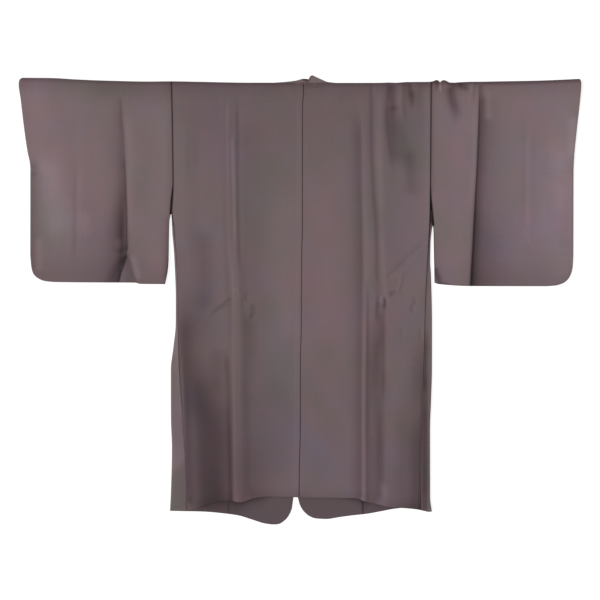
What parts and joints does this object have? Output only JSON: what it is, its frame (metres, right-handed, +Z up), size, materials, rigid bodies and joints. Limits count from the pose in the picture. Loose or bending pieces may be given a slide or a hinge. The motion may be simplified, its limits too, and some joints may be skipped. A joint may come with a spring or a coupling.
{
  "type": "kimono coat",
  "caption": "Kimono coat in plain matte silk, laid flat with its back upwards, wide square sleeves out to the sides and the fronts meeting underneath.",
  "frame": {"origin": "middle of the laid coat's outline, on the surface that it lies on", "axes": "+X from the left sleeve to the right sleeve as seen from above, +Y from the hem to the collar, +Z up from the surface"},
  "size_m": [1.3036, 1.0413, 0.0063],
  "materials": {
    "coat_cloth": "smooth matte silk crepe, mauve grey with soft grey green and rose mottling",
    "inside_cloth": "the same silk seen on the inside of the fronts"
  },
  "bodies": {
    "root": {"body_left": "coat_cloth", "body_right": "coat_cloth", "sleeve_left": "coat_cloth", "sleeve_right": "coat_cloth", "gusset_left": "coat_cloth", "gusset_right": "coat_cloth", "facing_left": "inside_cloth", "facing_right": "inside_cloth", "collar": "coat_cloth"}
  },
  "joints": []
}
